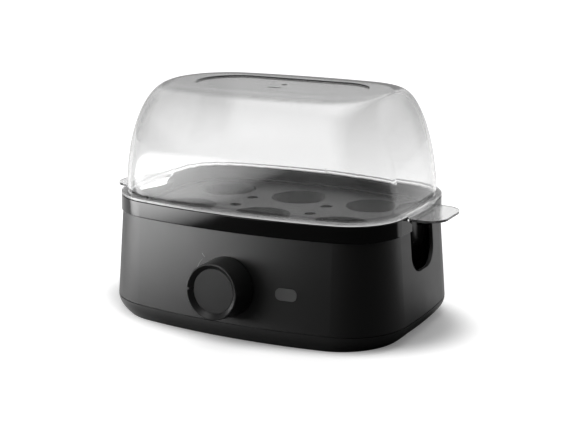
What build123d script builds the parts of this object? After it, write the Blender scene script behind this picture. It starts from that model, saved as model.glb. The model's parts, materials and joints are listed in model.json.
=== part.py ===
from build123d import *
from math import asin, atan2, cos, degrees, hypot, radians, sin, sqrt
import os

os.makedirs("parts", exist_ok=True)

# Body outline at the seam: eight tangent arcs, with a flat front and back and fuller sides
HALF_WIDTH = 108.0
HALF_DEPTH = 77.4
CORNER_R = 42.5
FRONT_R = 423.0
SIDE_R = 393.0

# Heights above the table
SKIRT_BOTTOM = 0.8
SKIRT_TOP = 11.4
SEAM_Z = 12.0
HOUSING_TOP = 71.0
BAND_TOP = 82.1

# Housing and rim
WALL = 2.5
HOUSING_DRAFT = 4.7
BAND_GAP = 0.2
BAND_INSET = 3.7
RIM_INSET = 4.0
BAND_WALL = 2.4
BAND_EDGE = 0.6
FIT_GAP = 0.2
BODY_GAP = 0.3

# Deck inside the rim, and the skirt that locates it in the housing
DECK_DEPTH = 10.9
DECK_T = 2.4
DECK_SKIRT_T = 1.6
DECK_SKIRT_DROP = 5.0
DECK_STEP_T = 2.0

# Base pan
SKIRT_TUCK_SIDE = 6.9
SKIRT_TUCK_FRONT = 3.2
SKIRT_SECTIONS = 5
SEAM_GROOVE = 1.0
PAN_FLOOR = 5.0
PAN_FLOOR_T = 2.2
PAN_TONGUE_T = 1.4
PAN_TONGUE_GAP = 0.5
PAN_RIM = 3.0
PAN_TONGUE_TOP = 16.0
ARCH_HALF_TOP = 24.0
ARCH_HALF_BOTTOM = 31.0
ARCH_TOP = 4.8
ARCH_REACH = 14.0
FOOT_EDGE_X = 24.0
FOOT_EDGE_Y = 39.4
FOOT_R = 8.0
FOOT_COLLAR_T = 1.4
FOOT_COLLAR_DROP = 3.6
FOOT_EDGE = 0.8
VENT_COUNT = 7
VENT_PITCH = 9.0
VENT_LENGTH = 34.0
VENT_WIDTH = 3.0

# Tie screws that clamp pan, housing and deck together
TIE_EDGE_X = 32.0
TIE_EDGE_Y = 20.4
TIE_POST_R = 4.5
TIE_FOOT_R = 6.0
TIE_FOOT_TALL = 6.0
TIE_POST_TOP = 42.0
TIE_SCREW_R = 1.75
TIE_HEAD_R = 3.6
TIE_HEAD_T = 2.2
TIE_SEAT_Z = 8.2
TIE_SCREW_TOP = 62.0
TIE_HOLE_SPARE = 1.0
PAN_HOLE_CLEAR = 0.25

# Finger recess at each end
RECESS_HALF = 18.9
RECESS_BOTTOM = 42.1
RECESS_CORNER = 13.0
RECESS_TALL = 60.0
LINER_CENTRE_IN = 3.0
LINER_REACH = 12.0
LINER_OUTER_IN = 10.0
SCOOP_JOIN_IN = 6.2
LINER_HALF_Y = 24.0
LINER_T = 1.5
LINER_DROP = 1.1
NOTCH_IN = 9.3
NOTCH_HALF = 18.1
NOTCH_HALF_TOP = 24.7
NOTCH_FLARE_TALL = 3.9
NOTCH_RIM_TALL = 2.3

# Water bowl in the deck
BOWL_EDGE_X = 26.0
BOWL_EDGE_Y = 25.4
BOWL_CORNER = 27.0
BOWL_DEPTH = 16.4
BOWL_TAPER = 4.0
BOWL_T = 1.0
BOWL_FLANGE = 4.0
BOWL_CLEAR = 0.8
BOWL_FLANGE_GAP = 0.4
BOWL_RECESS = 3.0
LEDGE_T = 2.0
LEDGE_WIDE = 3.0
SEAL_T = 1.2
SEAL_WIDE = 2.6

# Heater below the bowl
SPREADER_EDGE_X = 33.0
SPREADER_EDGE_Y = 39.4
SPREADER_CORNER = 14.0
SPREADER_T = 2.0
ELEMENT_R = 3.2
ELEMENT_EDGE_X = 40.0
ELEMENT_EDGE_Y = 48.4
ELEMENT_END_FLAT = 1.0
ELEMENT_LEG_X = 14.0
ELEMENT_LEG_BEND = 7.0
ELEMENT_LEG_DROP = 13.0
ELEMENT_PIN_R = 1.5
ELEMENT_PIN_LENGTH = 5.0
TOUCH = 0.05
STUD_X = 50.0
STUD_Y = 12.0
STUD_R = 2.0
STUD_LENGTH = 14.0
NUT_R = 4.0
NUT_T = 3.0
NUT_SIDES = 6
THERMOSTAT_R = 8.0
THERMOSTAT_TALL = 7.0
THERMOSTAT_NECK_R = 5.5
THERMOSTAT_NECK_TALL = 5.0
THERMOSTAT_BLADE_X = 3.5
BLADE_X = 6.0
BLADE_WIDTH = 4.0
BLADE_T = 0.8
BLADE_LENGTH = 6.0
FUSE_EDGE_Y = 18.0
FUSE_R = 2.0
FUSE_LENGTH = 12.0
FUSE_CLIP_T = 0.8
FUSE_CLIP_LENGTH = 5.0
FUSE_CLIP_FOOT = 4.0

# Heat shield hung on four deck posts
SHIELD_GAP = 2.0
SHIELD_T = 1.0
SHIELD_EDGE_X = 28.0
SHIELD_EDGE_Y = 41.4
SHIELD_LUG = 20.0
SHIELD_LUG_SHIFT = 4.0
SHIELD_POST_EDGE_X = 24.0
SHIELD_POST_EDGE_Y = 33.4
SHIELD_POST_R = 4.0
SHIELD_SCREW_R = 1.3
SHIELD_HEAD_R = 3.0
SHIELD_HEAD_T = 2.0
SHIELD_SCREW_BITE = 9.0
HOLE_CLEAR = 0.1
PASS_CLEAR = 2.3

# Knob and rotary control, measured along the normal of the front face
KNOB_Z = 35.7
KNOB_GAP = 0.7
KNOB_REACH = 19.2
KNOB_BASE_R = 19.7
KNOB_FRONT_R = 18.2
KNOB_WALL = 2.0
KNOB_LIP = 0.5
KNOB_EDGE = 0.4
KNOB_FACE_R = 14.6
KNOB_FACE_DEPTH = 2.8
KNOB_FACE_T = 1.6
KNOB_FACE_EDGE = 0.3
KNOB_WEB_T = 2.0
KNOB_HUB_R = 5.5
KNOB_HUB_START = 2.0
SHAFT_END_GAP = 0.8
POINTER_WIDTH = 1.6
POINTER_T = 0.5
POINTER_REACH = 17.6
SPRING_T = 0.6
SPRING_START = 4.0
SPRING_LENGTH = 4.0
SHAFT_R = 3.0
SHAFT_CLEAR = 0.08
SHAFT_SEAT = 4.0
SHAFT_FLAT = 0.8
SHAFT_HOLE_R = 4.5
CONTROL_BOSS_X = 20.0
CONTROL_BOSS_R = 3.5
CONTROL_BOSS_LENGTH = 3.4
CONTROL_PLATE_HALF_X = 25.0
CONTROL_PLATE_HALF_Y = 11.0
CONTROL_PLATE_T = 1.2
CONTROL_HALF = 12.0
CONTROL_CORNER = 1.5
CONTROL_LENGTH = 18.0
CONTROL_BUSH_R = 4.4
CONTROL_BUSH_PROUD = 2.8
CONTROL_NUT_R = 6.4
CONTROL_NUT_T = 2.0
CONTROL_BLADE_LENGTH = 7.0
BRACKET_SCREW_R = 1.4
BRACKET_HEAD_R = 2.8
BRACKET_HEAD_T = 1.8

# Power light to the right of the knob
LIGHT_X = 42.0
LIGHT_Z = 35.6
LIGHT_WIDTH = 14.4
LIGHT_TALL = 7.8
LIGHT_CORNER = 3.4
LIGHT_PROUD = 0.25
LIGHT_FLANGE = 1.6
LIGHT_FLANGE_T = 1.4
LIGHT_FLANGE_GAP = 0.25
LAMP_R = 2.5
LAMP_LENGTH = 7.0
LAMP_TIP = 2.2
LAMP_HOLDER_LENGTH = 9.0
LAMP_BOARD_T = 1.6

# Cord inlet at the back and the terminal block inside it
GLAND_X = -52.0
GLAND_Z = 24.0
GLAND_BODY_R = 6.0
GLAND_FLANGE_R = 8.5
GLAND_FLANGE_T = 3.0
GLAND_BORE_R = 3.6
GLAND_EDGE = 1.2
GLAND_RING_R = 7.2
GLAND_RING_T = 2.0
TERMINAL_EDGE_Y = 25.4
TERMINAL_WIDTH = 30.0
TERMINAL_DEPTH = 16.0
TERMINAL_TALL = 14.0
TERMINAL_PITCH = 9.0
TERMINAL_BORE_R = 2.2
TERMINAL_SCREW_DEEP = 6.0
TERMINAL_SCREW_TALL = 4.5
LEAD_R = 1.1
LEAD_BEND = 6.0
LEAD_LOW_Z = 14.0
LEAD_HIGH_Z = 20.0
LEAD_MID_Z = 22.0
LEAD_TIP_GAP = 0.1
LEAD_RUN = 16.0

# Egg tray, two rows of three seats
TRAY_EDGE_X = 18.5
TRAY_EDGE_Y = 13.9
TRAY_CORNER = 34.0
TRAY_T = 1.5
SEAT_COLUMNS = 3
SEAT_ROWS = 2
SEAT_END_EDGE = 4.0
SEAT_SIDE_EDGE = 7.5
SEAT_R = 21.0
SEAT_FLOOR_R = 15.0
SEAT_HOLE_R = 11.0
SEAT_DEPTH = 9.0
TRAY_RIM = 1.6
STEAM_HOLE_R = 4.0
STEAM_PITCH_Y = 24.0

# Lid
FLANGE_T = 1.4
LIP_GAP = 0.5
LIP_T = 1.6
LIP_DROP = 2.4
LID_T = 2.2
DOME_EDGE_X = 7.5
DOME_EDGE_Y = 8.2
DOME_RISE = 72.3
DOME_CORNER = 36.5
DOME_END_FLAT = 1.0
DOME_SIDE_START = 7.9
DOME_SIDE_DRAW = 20.3
DOME_SIDE_POWER = 1.4
DOME_FRONT_START = 18.7
DOME_FRONT_DRAW = 30.7
DOME_FRONT_POWER = 2.67
DOME_SECTIONS = 9
TOP_HALF_X = 61.7
TOP_HALF_Y = 28.0
TOP_END_FLAT = 2.0
TOP_SUNK = 1.0
VENT_SLOT_LENGTH = 10.0
VENT_SLOT_WIDTH = 2.2
VENT_SLOT_Y = -9.0
VENT_HOLE_R = 2.0
VENT_HOLE_Y = 5.0
TAB_REACH = 16.5
TAB_HALF = 22.3
TAB_HALF_TOP = 24.1
TAB_CORNER = 13.0
TAB_T = 1.6
TAB_DROP = 3.6
TAB_WALL = 1.6

# Heights, places and angles that follow from the sizes above
ARCH_INNER_X = HALF_WIDTH - ARCH_REACH
FOOT_X = HALF_WIDTH - FOOT_EDGE_X
FOOT_Y = HALF_DEPTH - FOOT_EDGE_Y
TIE_X = HALF_WIDTH - TIE_EDGE_X
TIE_Y = HALF_DEPTH - TIE_EDGE_Y
LINER_CENTRE_X = HALF_WIDTH - LINER_CENTRE_IN
LINER_OUTER_X = HALF_WIDTH - LINER_OUTER_IN
SCOOP_JOIN_X = HALF_WIDTH - SCOOP_JOIN_IN
NOTCH_X = HALF_WIDTH - NOTCH_IN
BOWL_HALF_X = HALF_WIDTH - BOWL_EDGE_X
BOWL_HALF_Y = HALF_DEPTH - BOWL_EDGE_Y
SPREADER_HALF_X = HALF_WIDTH - SPREADER_EDGE_X
SPREADER_HALF_Y = HALF_DEPTH - SPREADER_EDGE_Y
ELEMENT_HALF_X = HALF_WIDTH - ELEMENT_EDGE_X
ELEMENT_HALF_Y = HALF_DEPTH - ELEMENT_EDGE_Y
ELEMENT_BEND = ELEMENT_HALF_Y - ELEMENT_END_FLAT
FUSE_Y = FUSE_EDGE_Y - SPREADER_HALF_Y
SHIELD_HALF_X = HALF_WIDTH - SHIELD_EDGE_X
SHIELD_HALF_Y = HALF_DEPTH - SHIELD_EDGE_Y
SHIELD_POST_X = HALF_WIDTH - SHIELD_POST_EDGE_X
SHIELD_POST_Y = HALF_DEPTH - SHIELD_POST_EDGE_Y
TERMINAL_Y = HALF_DEPTH - TERMINAL_EDGE_Y
TRAY_HALF_X = HALF_WIDTH - TRAY_EDGE_X
TRAY_HALF_Y = HALF_DEPTH - TRAY_EDGE_Y
SEAT_PITCH_X = 2 * (TRAY_HALF_X - SEAT_END_EDGE) / SEAT_COLUMNS
SEAT_PITCH_Y = 2 * (TRAY_HALF_Y - SEAT_SIDE_EDGE) / SEAT_ROWS
TOP_CORNER = TOP_HALF_Y - TOP_END_FLAT
DOME_HALF_WIDTH = HALF_WIDTH - DOME_EDGE_X
DOME_HALF_DEPTH = HALF_DEPTH - DOME_EDGE_Y
TAB_TIP_X = HALF_WIDTH + TAB_REACH
NOTCH_WIDE_Z = BAND_TOP - NOTCH_RIM_TALL
NOTCH_BEND_Z = NOTCH_WIDE_Z - NOTCH_FLARE_TALL
BAND_BOTTOM = HOUSING_TOP + BAND_GAP
DECK_TOP = BAND_TOP - DECK_DEPTH
DECK_UNDER = DECK_TOP - DECK_T
RECESS_FLOOR = DECK_TOP - BOWL_RECESS
BOWL_FLANGE_Z = RECESS_FLOOR + SEAL_T
BOWL_BOTTOM = BOWL_FLANGE_Z - BOWL_DEPTH
SPREADER_Z = BOWL_BOTTOM - SPREADER_T
ELEMENT_Z = SPREADER_Z - ELEMENT_R - TOUCH
SHIELD_TOP = ELEMENT_Z - ELEMENT_R - SHIELD_GAP
SHIELD_Z = SHIELD_TOP - SHIELD_T
PAN_FLOOR_TOP = PAN_FLOOR + PAN_FLOOR_T
TIE_BOSS_BOTTOM = TIE_POST_TOP + BODY_GAP
FLANGE_Z = BAND_TOP + BODY_GAP
DOME_Z = FLANGE_Z + FLANGE_T
TRAY_Z = DECK_TOP + BODY_GAP
TAB_Z = FLANGE_Z - TAB_DROP
SCOOP_TOP = TAB_Z - BODY_GAP
LINER_FLOOR = RECESS_BOTTOM - LINER_DROP
NOTCH_FLOOR = BAND_BOTTOM - DECK_SKIRT_DROP
DRAFT_PER_MM = HOUSING_DRAFT / (HOUSING_TOP - SEAM_Z)
DRAFT_COS = 1 / sqrt(1 + DRAFT_PER_MM**2)
DRAFT_SIN = DRAFT_PER_MM * DRAFT_COS
SKIRT_INSET = HOUSING_DRAFT + WALL + FIT_GAP
TONGUE_INSET = WALL + PAN_TONGUE_GAP
BRACKET_Z = TOUCH - WALL - CONTROL_BOSS_LENGTH
CONTROL_FRONT = BRACKET_Z - CONTROL_PLATE_T
CONTROL_REAR = CONTROL_FRONT - CONTROL_LENGTH
CONTROL_TIP = CONTROL_REAR - CONTROL_BLADE_LENGTH
KNOB_FACE_Z = KNOB_REACH - KNOB_FACE_DEPTH
KNOB_SEAT_Z = KNOB_FACE_Z - KNOB_FACE_T
KNOB_WEB_Z = KNOB_SEAT_Z - KNOB_WEB_T
SHAFT_END = KNOB_WEB_Z - SHAFT_END_GAP
LENS_FLANGE_Z = -WALL - LIGHT_FLANGE_GAP
HOLDER_Z = LENS_FLANGE_Z - LIGHT_FLANGE_T
BOARD_Z = HOLDER_Z - LAMP_HOLDER_LENGTH
THERMOSTAT_NECK_Z = SPREADER_Z - THERMOSTAT_TALL
THERMOSTAT_BLADE_Z = THERMOSTAT_NECK_Z - THERMOSTAT_NECK_TALL
THERMOSTAT_TIP = THERMOSTAT_BLADE_Z - BLADE_LENGTH
ELEMENT_LEG_END = ELEMENT_Z - ELEMENT_LEG_DROP
ELEMENT_PIN_END = ELEMENT_LEG_END - ELEMENT_PIN_LENGTH


def arc_outline(half_width, half_depth, corner, front, side):
    """Closed outline of four long arcs joined by four tangent corner arcs."""
    to_front = front - corner
    to_side = side - corner
    front_y = half_depth - front
    side_x = half_width - side
    span = hypot(side_x, front_y)
    along = (to_front**2 - to_side**2 + span**2) / (2 * span)
    across = sqrt(to_front**2 - along**2)
    unit_x, unit_y = side_x / span, -front_y / span
    centre_x = unit_x * along + unit_y * across
    centre_y = front_y + unit_y * along - unit_x * across
    low = degrees(atan2(centre_y, centre_x - side_x))
    high = degrees(atan2(centre_y - front_y, centre_x))
    with BuildSketch() as outline:
        with BuildLine():
            CenterArc((side_x, 0), side, -low, 2 * low)
            CenterArc((centre_x, centre_y), corner, low, high - low)
            CenterArc((0, front_y), front, high, 180 - 2 * high)
            CenterArc((-centre_x, centre_y), corner, 180 - high, high - low)
            CenterArc((-side_x, 0), side, 180 - low, 2 * low)
            CenterArc((-centre_x, -centre_y), corner, 180 + low, high - low)
            CenterArc((0, -front_y), front, 180 + high, 180 - 2 * high)
            CenterArc((centre_x, -centre_y), corner, 360 - high, high - low)
        make_face()
    return outline.sketch


def body_outline(inset):
    """The body's outline, drawn in by the same amount all round."""
    return arc_outline(
        HALF_WIDTH - inset, HALF_DEPTH - inset, CORNER_R - inset, FRONT_R - inset, SIDE_R - inset
    )


def skirt_outline(share):
    """The base skirt's outline, from 0 at its top to 1 at its rounded foot."""
    tuck = share**2
    return arc_outline(
        HALF_WIDTH - tuck * SKIRT_TUCK_SIDE,
        HALF_DEPTH - tuck * SKIRT_TUCK_FRONT,
        CORNER_R - tuck * SKIRT_TUCK_FRONT / 2,
        FRONT_R,
        SIDE_R,
    )


def pan_outline(grow):
    """The water bowl's rounded rectangle, grown by the same amount all round."""
    with BuildSketch() as outline:
        RectangleRounded(
            2 * (BOWL_HALF_X + grow), 2 * (BOWL_HALF_Y + grow), BOWL_CORNER + grow
        )
    return outline.sketch


def tray_outline(grow):
    """The egg tray's outline, grown by the same amount all round."""
    return arc_outline(
        TRAY_HALF_X + grow,
        TRAY_HALF_Y + grow,
        TRAY_CORNER + grow,
        FRONT_R + grow,
        SIDE_R + grow,
    )


def scoop_outline(side, grow, limit):
    """The part of a finger scoop's ellipse that lies inside a given distance from the middle."""
    with BuildSketch() as outline:
        with Locations((side * LINER_CENTRE_X, 0)):
            Ellipse(LINER_REACH + grow, LINER_HALF_Y + grow)
        with Locations((side * (limit + LINER_CENTRE_X), 0)):
            Rectangle(2 * LINER_CENTRE_X, 2 * LINER_CENTRE_X, mode=Mode.SUBTRACT)
    return outline.sketch


def drawn_in(rise, start, draw, power, full_rise):
    """How far a dome wall has curved in at a given rise above the flange."""
    share = min(1, max(0, (rise - start) / (full_rise - start)))
    return draw * (1 - (1 - share**power) ** (1 / power))


def widest_corner(half_width, half_depth, front):
    """The corner radius at which the two corners of one side would meet."""
    front_y = half_depth - front
    return (front**2 - front_y**2 - half_width**2) / (2 * (front - half_width))


def dome_outline(share, wall):
    """The dome's rise and outline at one section, on its outside or one wall inside it."""
    full_rise = DOME_RISE - wall
    rise = full_rise * sin(radians(90 * share))
    half_width = DOME_HALF_WIDTH - wall - drawn_in(
        rise, DOME_SIDE_START, DOME_SIDE_DRAW, DOME_SIDE_POWER, full_rise
    )
    half_depth = DOME_HALF_DEPTH - wall - drawn_in(
        rise, DOME_FRONT_START, DOME_FRONT_DRAW, DOME_FRONT_POWER, full_rise
    )
    front = FRONT_R - wall
    corner = min(DOME_CORNER - wall, widest_corner(half_width, half_depth, front) - DOME_END_FLAT)
    return rise, arc_outline(half_width, half_depth, corner, front, SIDE_R - wall)


def wall_inset(height):
    """How far the housing's outer face has drawn in at a given height."""
    return DRAFT_PER_MM * (height - SEAM_Z)


def face_depth(x, height):
    """Distance of the housing's outer face from the middle plane, front or back."""
    radius = FRONT_R - wall_inset(height)
    return HALF_DEPTH - FRONT_R + sqrt(radius**2 - x**2)


def face_plane(x, height, side):
    """Plane that touches the front (-1) or back (1) face, with its normal pointing out."""
    turn = asin(x / (FRONT_R - wall_inset(height)))
    return Plane(
        origin=(x, side * face_depth(x, height), height),
        x_dir=(-side * cos(turn), sin(turn), 0),
        z_dir=(sin(turn) * DRAFT_COS, side * cos(turn) * DRAFT_COS, DRAFT_SIN),
    )


KNOB_PLANE = face_plane(0, KNOB_Z, -1)
KNOB_AXIS = Axis(KNOB_PLANE.origin, KNOB_PLANE.z_dir)
KNOB_SIDE_PLANE = Plane(origin=KNOB_PLANE.origin, x_dir=(1, 0, 0), z_dir=-KNOB_PLANE.y_dir)
LIGHT_PLANE = face_plane(LIGHT_X, LIGHT_Z, -1)
GLAND_PLANE = face_plane(GLAND_X, GLAND_Z, 1)


def four(x, y):
    """The same place in each of the four corners."""
    return [(sx * x, sy * y) for sx in (-1, 1) for sy in (-1, 1)]


def save(piece, name):
    """Label a finished piece and write it."""
    piece.part.label = name
    export_step(piece.part, f"parts/{name}.step")


# Housing: drafted tube with the finger recesses, knob, light and inlet openings
with BuildPart() as housing:
    with BuildSketch(Plane.XY.offset(SEAM_Z)):
        add(body_outline(0))
    with BuildSketch(Plane.XY.offset(HOUSING_TOP)):
        add(body_outline(HOUSING_DRAFT))
    loft(ruled=True)
    with BuildSketch(Plane.XY.offset(SEAM_Z)):
        add(body_outline(WALL))
    with BuildSketch(Plane.XY.offset(HOUSING_TOP)):
        add(body_outline(HOUSING_DRAFT + WALL))
    loft(ruled=True, mode=Mode.SUBTRACT)
    with BuildSketch(Plane.YZ):
        with Locations((0, RECESS_BOTTOM + RECESS_TALL / 2)):
            RectangleRounded(2 * RECESS_HALF, RECESS_TALL, RECESS_CORNER)
    extrude(amount=HALF_WIDTH, both=True, mode=Mode.SUBTRACT)
    with BuildSketch(KNOB_PLANE.offset(-WALL / 2)):
        with Locations((-CONTROL_BOSS_X, 0), (CONTROL_BOSS_X, 0)):
            Circle(CONTROL_BOSS_R)
    extrude(amount=BRACKET_Z + WALL / 2)
    with BuildSketch(KNOB_PLANE):
        Circle(SHAFT_HOLE_R)
    extrude(amount=2 * WALL, both=True, mode=Mode.SUBTRACT)
    with BuildSketch(KNOB_PLANE.offset(BRACKET_Z)):
        with Locations((-CONTROL_BOSS_X, 0), (CONTROL_BOSS_X, 0)):
            Circle(BRACKET_SCREW_R + HOLE_CLEAR)
    extrude(amount=CONTROL_BOSS_LENGTH, mode=Mode.SUBTRACT)
    with BuildSketch(LIGHT_PLANE):
        RectangleRounded(LIGHT_WIDTH + FIT_GAP, LIGHT_TALL + FIT_GAP, LIGHT_CORNER + FIT_GAP / 2)
    extrude(amount=2 * WALL, both=True, mode=Mode.SUBTRACT)
    with BuildSketch(GLAND_PLANE):
        Circle(GLAND_BODY_R + HOLE_CLEAR)
    extrude(amount=2 * WALL, both=True, mode=Mode.SUBTRACT)

# The housing is moulded as two shells that meet face to face under the finger recesses
for shell_name, kept_side in (("housing_front", Keep.TOP), ("housing_back", Keep.BOTTOM)):
    with BuildPart() as shell:
        add(housing.part)
        split(bisect_by=Plane.XZ, keep=kept_side)
    save(shell, shell_name)

# Glossy rim deck: outer band, stepped floor, locating skirt, bowl ledge, posts and end scoops
with BuildPart() as rim_deck:
    with BuildSketch(Plane.XY.offset(BAND_BOTTOM)):
        add(body_outline(BAND_INSET))
    with BuildSketch(Plane.XY.offset(BAND_TOP)):
        add(body_outline(RIM_INSET))
    loft(ruled=True)
    fillet(rim_deck.faces().filter_by(Plane.XY).edges(), BAND_EDGE)
    with BuildSketch(Plane.XY.offset(BAND_BOTTOM)):
        add(body_outline(SKIRT_INSET))
    extrude(amount=-DECK_SKIRT_DROP)
    with BuildSketch(Plane.XY.offset(NOTCH_FLOOR)):
        add(body_outline(SKIRT_INSET + DECK_SKIRT_T))
    extrude(amount=DECK_UNDER - NOTCH_FLOOR, mode=Mode.SUBTRACT)
    with BuildSketch(Plane.XY.offset(DECK_TOP)):
        add(body_outline(SKIRT_INSET + DECK_SKIRT_T))
    extrude(amount=DECK_DEPTH, mode=Mode.SUBTRACT)
    with BuildSketch(Plane.XY.offset(DECK_TOP + DECK_STEP_T)):
        add(body_outline(RIM_INSET + BAND_WALL))
    extrude(amount=DECK_DEPTH, mode=Mode.SUBTRACT)
    with BuildSketch(Plane.XY.offset(RECESS_FLOOR - LEDGE_T)):
        add(pan_outline(BOWL_FLANGE + LEDGE_WIDE))
    extrude(amount=DECK_UNDER - RECESS_FLOOR + LEDGE_T)
    with BuildSketch(Plane.XY.offset(TIE_BOSS_BOTTOM)):
        with Locations(*four(TIE_X, TIE_Y)):
            Circle(TIE_POST_R)
    extrude(amount=DECK_UNDER - TIE_BOSS_BOTTOM)
    with BuildSketch(Plane.XY.offset(SHIELD_TOP)):
        with Locations(*four(SHIELD_POST_X, SHIELD_POST_Y)):
            Circle(SHIELD_POST_R)
    extrude(amount=DECK_UNDER - SHIELD_TOP)
    with BuildSketch(Plane.XY.offset(RECESS_FLOOR)):
        add(pan_outline(BOWL_FLANGE + BOWL_FLANGE_GAP))
    extrude(amount=BOWL_RECESS, mode=Mode.SUBTRACT)
    with BuildSketch(Plane.XY.offset(RECESS_FLOOR - LEDGE_T)):
        add(pan_outline(BOWL_CLEAR))
    extrude(amount=LEDGE_T, mode=Mode.SUBTRACT)
    with BuildSketch(Plane.XY.offset(TIE_BOSS_BOTTOM)):
        with Locations(*four(TIE_X, TIE_Y)):
            Circle(TIE_SCREW_R + HOLE_CLEAR)
    extrude(amount=TIE_SCREW_TOP + TIE_HOLE_SPARE - TIE_BOSS_BOTTOM, mode=Mode.SUBTRACT)
    with BuildSketch(Plane.XY.offset(SHIELD_TOP)):
        with Locations(*four(SHIELD_POST_X, SHIELD_POST_Y)):
            Circle(SHIELD_SCREW_R + HOLE_CLEAR)
    extrude(amount=SHIELD_SCREW_BITE + TIE_HOLE_SPARE, mode=Mode.SUBTRACT)
    for side in (-1, 1):
        with BuildSketch(Plane.XY.offset(DECK_TOP)):
            add(scoop_outline(side, LINER_T, SCOOP_JOIN_X))
        extrude(amount=SCOOP_TOP - DECK_TOP)
        with BuildSketch(Plane.XY.offset(DECK_UNDER)):
            add(scoop_outline(side, 0, NOTCH_X))
        extrude(amount=SCOOP_TOP - DECK_UNDER, mode=Mode.SUBTRACT)
        with BuildSketch(Plane.YZ.offset(side * NOTCH_X)):
            with BuildLine():
                Polyline(
                    (-NOTCH_HALF, NOTCH_FLOOR),
                    (-NOTCH_HALF, NOTCH_BEND_Z),
                    (-NOTCH_HALF_TOP, NOTCH_WIDE_Z),
                    (-NOTCH_HALF_TOP, BAND_TOP),
                    (NOTCH_HALF_TOP, BAND_TOP),
                    (NOTCH_HALF_TOP, NOTCH_WIDE_Z),
                    (NOTCH_HALF, NOTCH_BEND_Z),
                    (NOTCH_HALF, NOTCH_FLOOR),
                    close=True,
                )
            make_face()
        extrude(amount=side * HALF_WIDTH, mode=Mode.SUBTRACT)
save(rim_deck, "rim_deck")


def recess_liner(side):
    """Curved scoop behind a finger recess, closed at its floor and hung from the deck."""
    with BuildPart() as liner:
        with BuildSketch(Plane.XY.offset(LINER_FLOOR - LINER_T)):
            add(scoop_outline(side, LINER_T, LINER_OUTER_X))
        extrude(amount=DECK_UNDER - LINER_FLOOR + LINER_T)
        with BuildSketch(Plane.XY.offset(LINER_FLOOR)):
            add(scoop_outline(side, 0, LINER_OUTER_X))
        extrude(amount=DECK_UNDER - LINER_FLOOR, mode=Mode.SUBTRACT)
    return liner


save(recess_liner(-1), "recess_liner_left")
save(recess_liner(1), "recess_liner_right")

# Base pan: rounded skirt with side arches, floor, tongue, foot cups, tie posts and vents
with BuildPart() as base_pan:
    for step in range(SKIRT_SECTIONS):
        share = step / (SKIRT_SECTIONS - 1)
        with BuildSketch(Plane.XY.offset(SKIRT_TOP - share * (SKIRT_TOP - SKIRT_BOTTOM))):
            add(skirt_outline(share))
    loft()
    with BuildSketch(Plane.XY.offset(SKIRT_TOP)):
        add(body_outline(SEAM_GROOVE))
    extrude(amount=SEAM_Z - SKIRT_TOP)
    with BuildSketch(Plane.XY.offset(SKIRT_TOP)):
        add(body_outline(TONGUE_INSET))
    extrude(amount=PAN_TONGUE_TOP - SKIRT_TOP)
    with BuildSketch(Plane.XY.offset(PAN_FLOOR_TOP)):
        add(body_outline(TONGUE_INSET + PAN_TONGUE_T))
    extrude(amount=PAN_TONGUE_TOP - PAN_FLOOR_TOP, mode=Mode.SUBTRACT)
    with BuildSketch(Plane.XY.offset(SKIRT_BOTTOM)):
        add(
            arc_outline(
                HALF_WIDTH - SKIRT_TUCK_SIDE - PAN_RIM,
                HALF_DEPTH - SKIRT_TUCK_FRONT - PAN_RIM,
                CORNER_R - SKIRT_TUCK_FRONT / 2 - PAN_RIM,
                FRONT_R - PAN_RIM,
                SIDE_R - PAN_RIM,
            )
        )
    extrude(amount=PAN_FLOOR - SKIRT_BOTTOM, mode=Mode.SUBTRACT)
    for side in (-1, 1):
        with BuildSketch(Plane.YZ.offset(side * ARCH_INNER_X)):
            with BuildLine():
                Polyline(
                    (-ARCH_HALF_BOTTOM, SKIRT_BOTTOM),
                    (-ARCH_HALF_TOP, ARCH_TOP),
                    (ARCH_HALF_TOP, ARCH_TOP),
                    (ARCH_HALF_BOTTOM, SKIRT_BOTTOM),
                    close=True,
                )
            make_face()
        extrude(amount=side * HALF_WIDTH, mode=Mode.SUBTRACT)
    with BuildSketch(Plane.XY.offset(PAN_FLOOR)):
        with Locations(*four(TIE_X, TIE_Y)):
            Circle(TIE_FOOT_R)
    extrude(amount=TIE_FOOT_TALL)
    with BuildSketch(Plane.XY.offset(PAN_FLOOR)):
        with Locations(*four(TIE_X, TIE_Y)):
            Circle(TIE_POST_R)
    extrude(amount=TIE_POST_TOP - PAN_FLOOR)
    with BuildSketch(Plane.XY.offset(PAN_FLOOR)):
        with Locations(*four(TIE_X, TIE_Y)):
            Circle(TIE_SCREW_R + PAN_HOLE_CLEAR)
    extrude(amount=TIE_POST_TOP - PAN_FLOOR, mode=Mode.SUBTRACT)
    with BuildSketch(Plane.XY.offset(PAN_FLOOR)):
        with Locations(*four(TIE_X, TIE_Y)):
            Circle(TIE_HEAD_R + PAN_HOLE_CLEAR)
    extrude(amount=TIE_SEAT_Z - PAN_FLOOR, mode=Mode.SUBTRACT)
    with BuildSketch(Plane.XY.offset(PAN_FLOOR)):
        with Locations(*four(FOOT_X, FOOT_Y)):
            Circle(FOOT_R + FIT_GAP + FOOT_COLLAR_T)
            Circle(FOOT_R + FIT_GAP, mode=Mode.SUBTRACT)
    extrude(amount=-FOOT_COLLAR_DROP)
    with BuildSketch(Plane.XY.offset(PAN_FLOOR)):
        with GridLocations(VENT_PITCH, VENT_PITCH, VENT_COUNT, 1):
            SlotOverall(VENT_LENGTH, VENT_WIDTH, rotation=90)
    extrude(amount=PAN_FLOOR_T, mode=Mode.SUBTRACT)
save(base_pan, "base_pan")

with BuildPart() as rubber_feet:
    with BuildSketch(Plane.XY):
        with Locations(*four(FOOT_X, FOOT_Y)):
            Circle(FOOT_R)
    extrude(amount=PAN_FLOOR)
    fillet(rubber_feet.edges().group_by(Axis.Z)[0], FOOT_EDGE)
save(rubber_feet, "rubber_feet")

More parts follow.
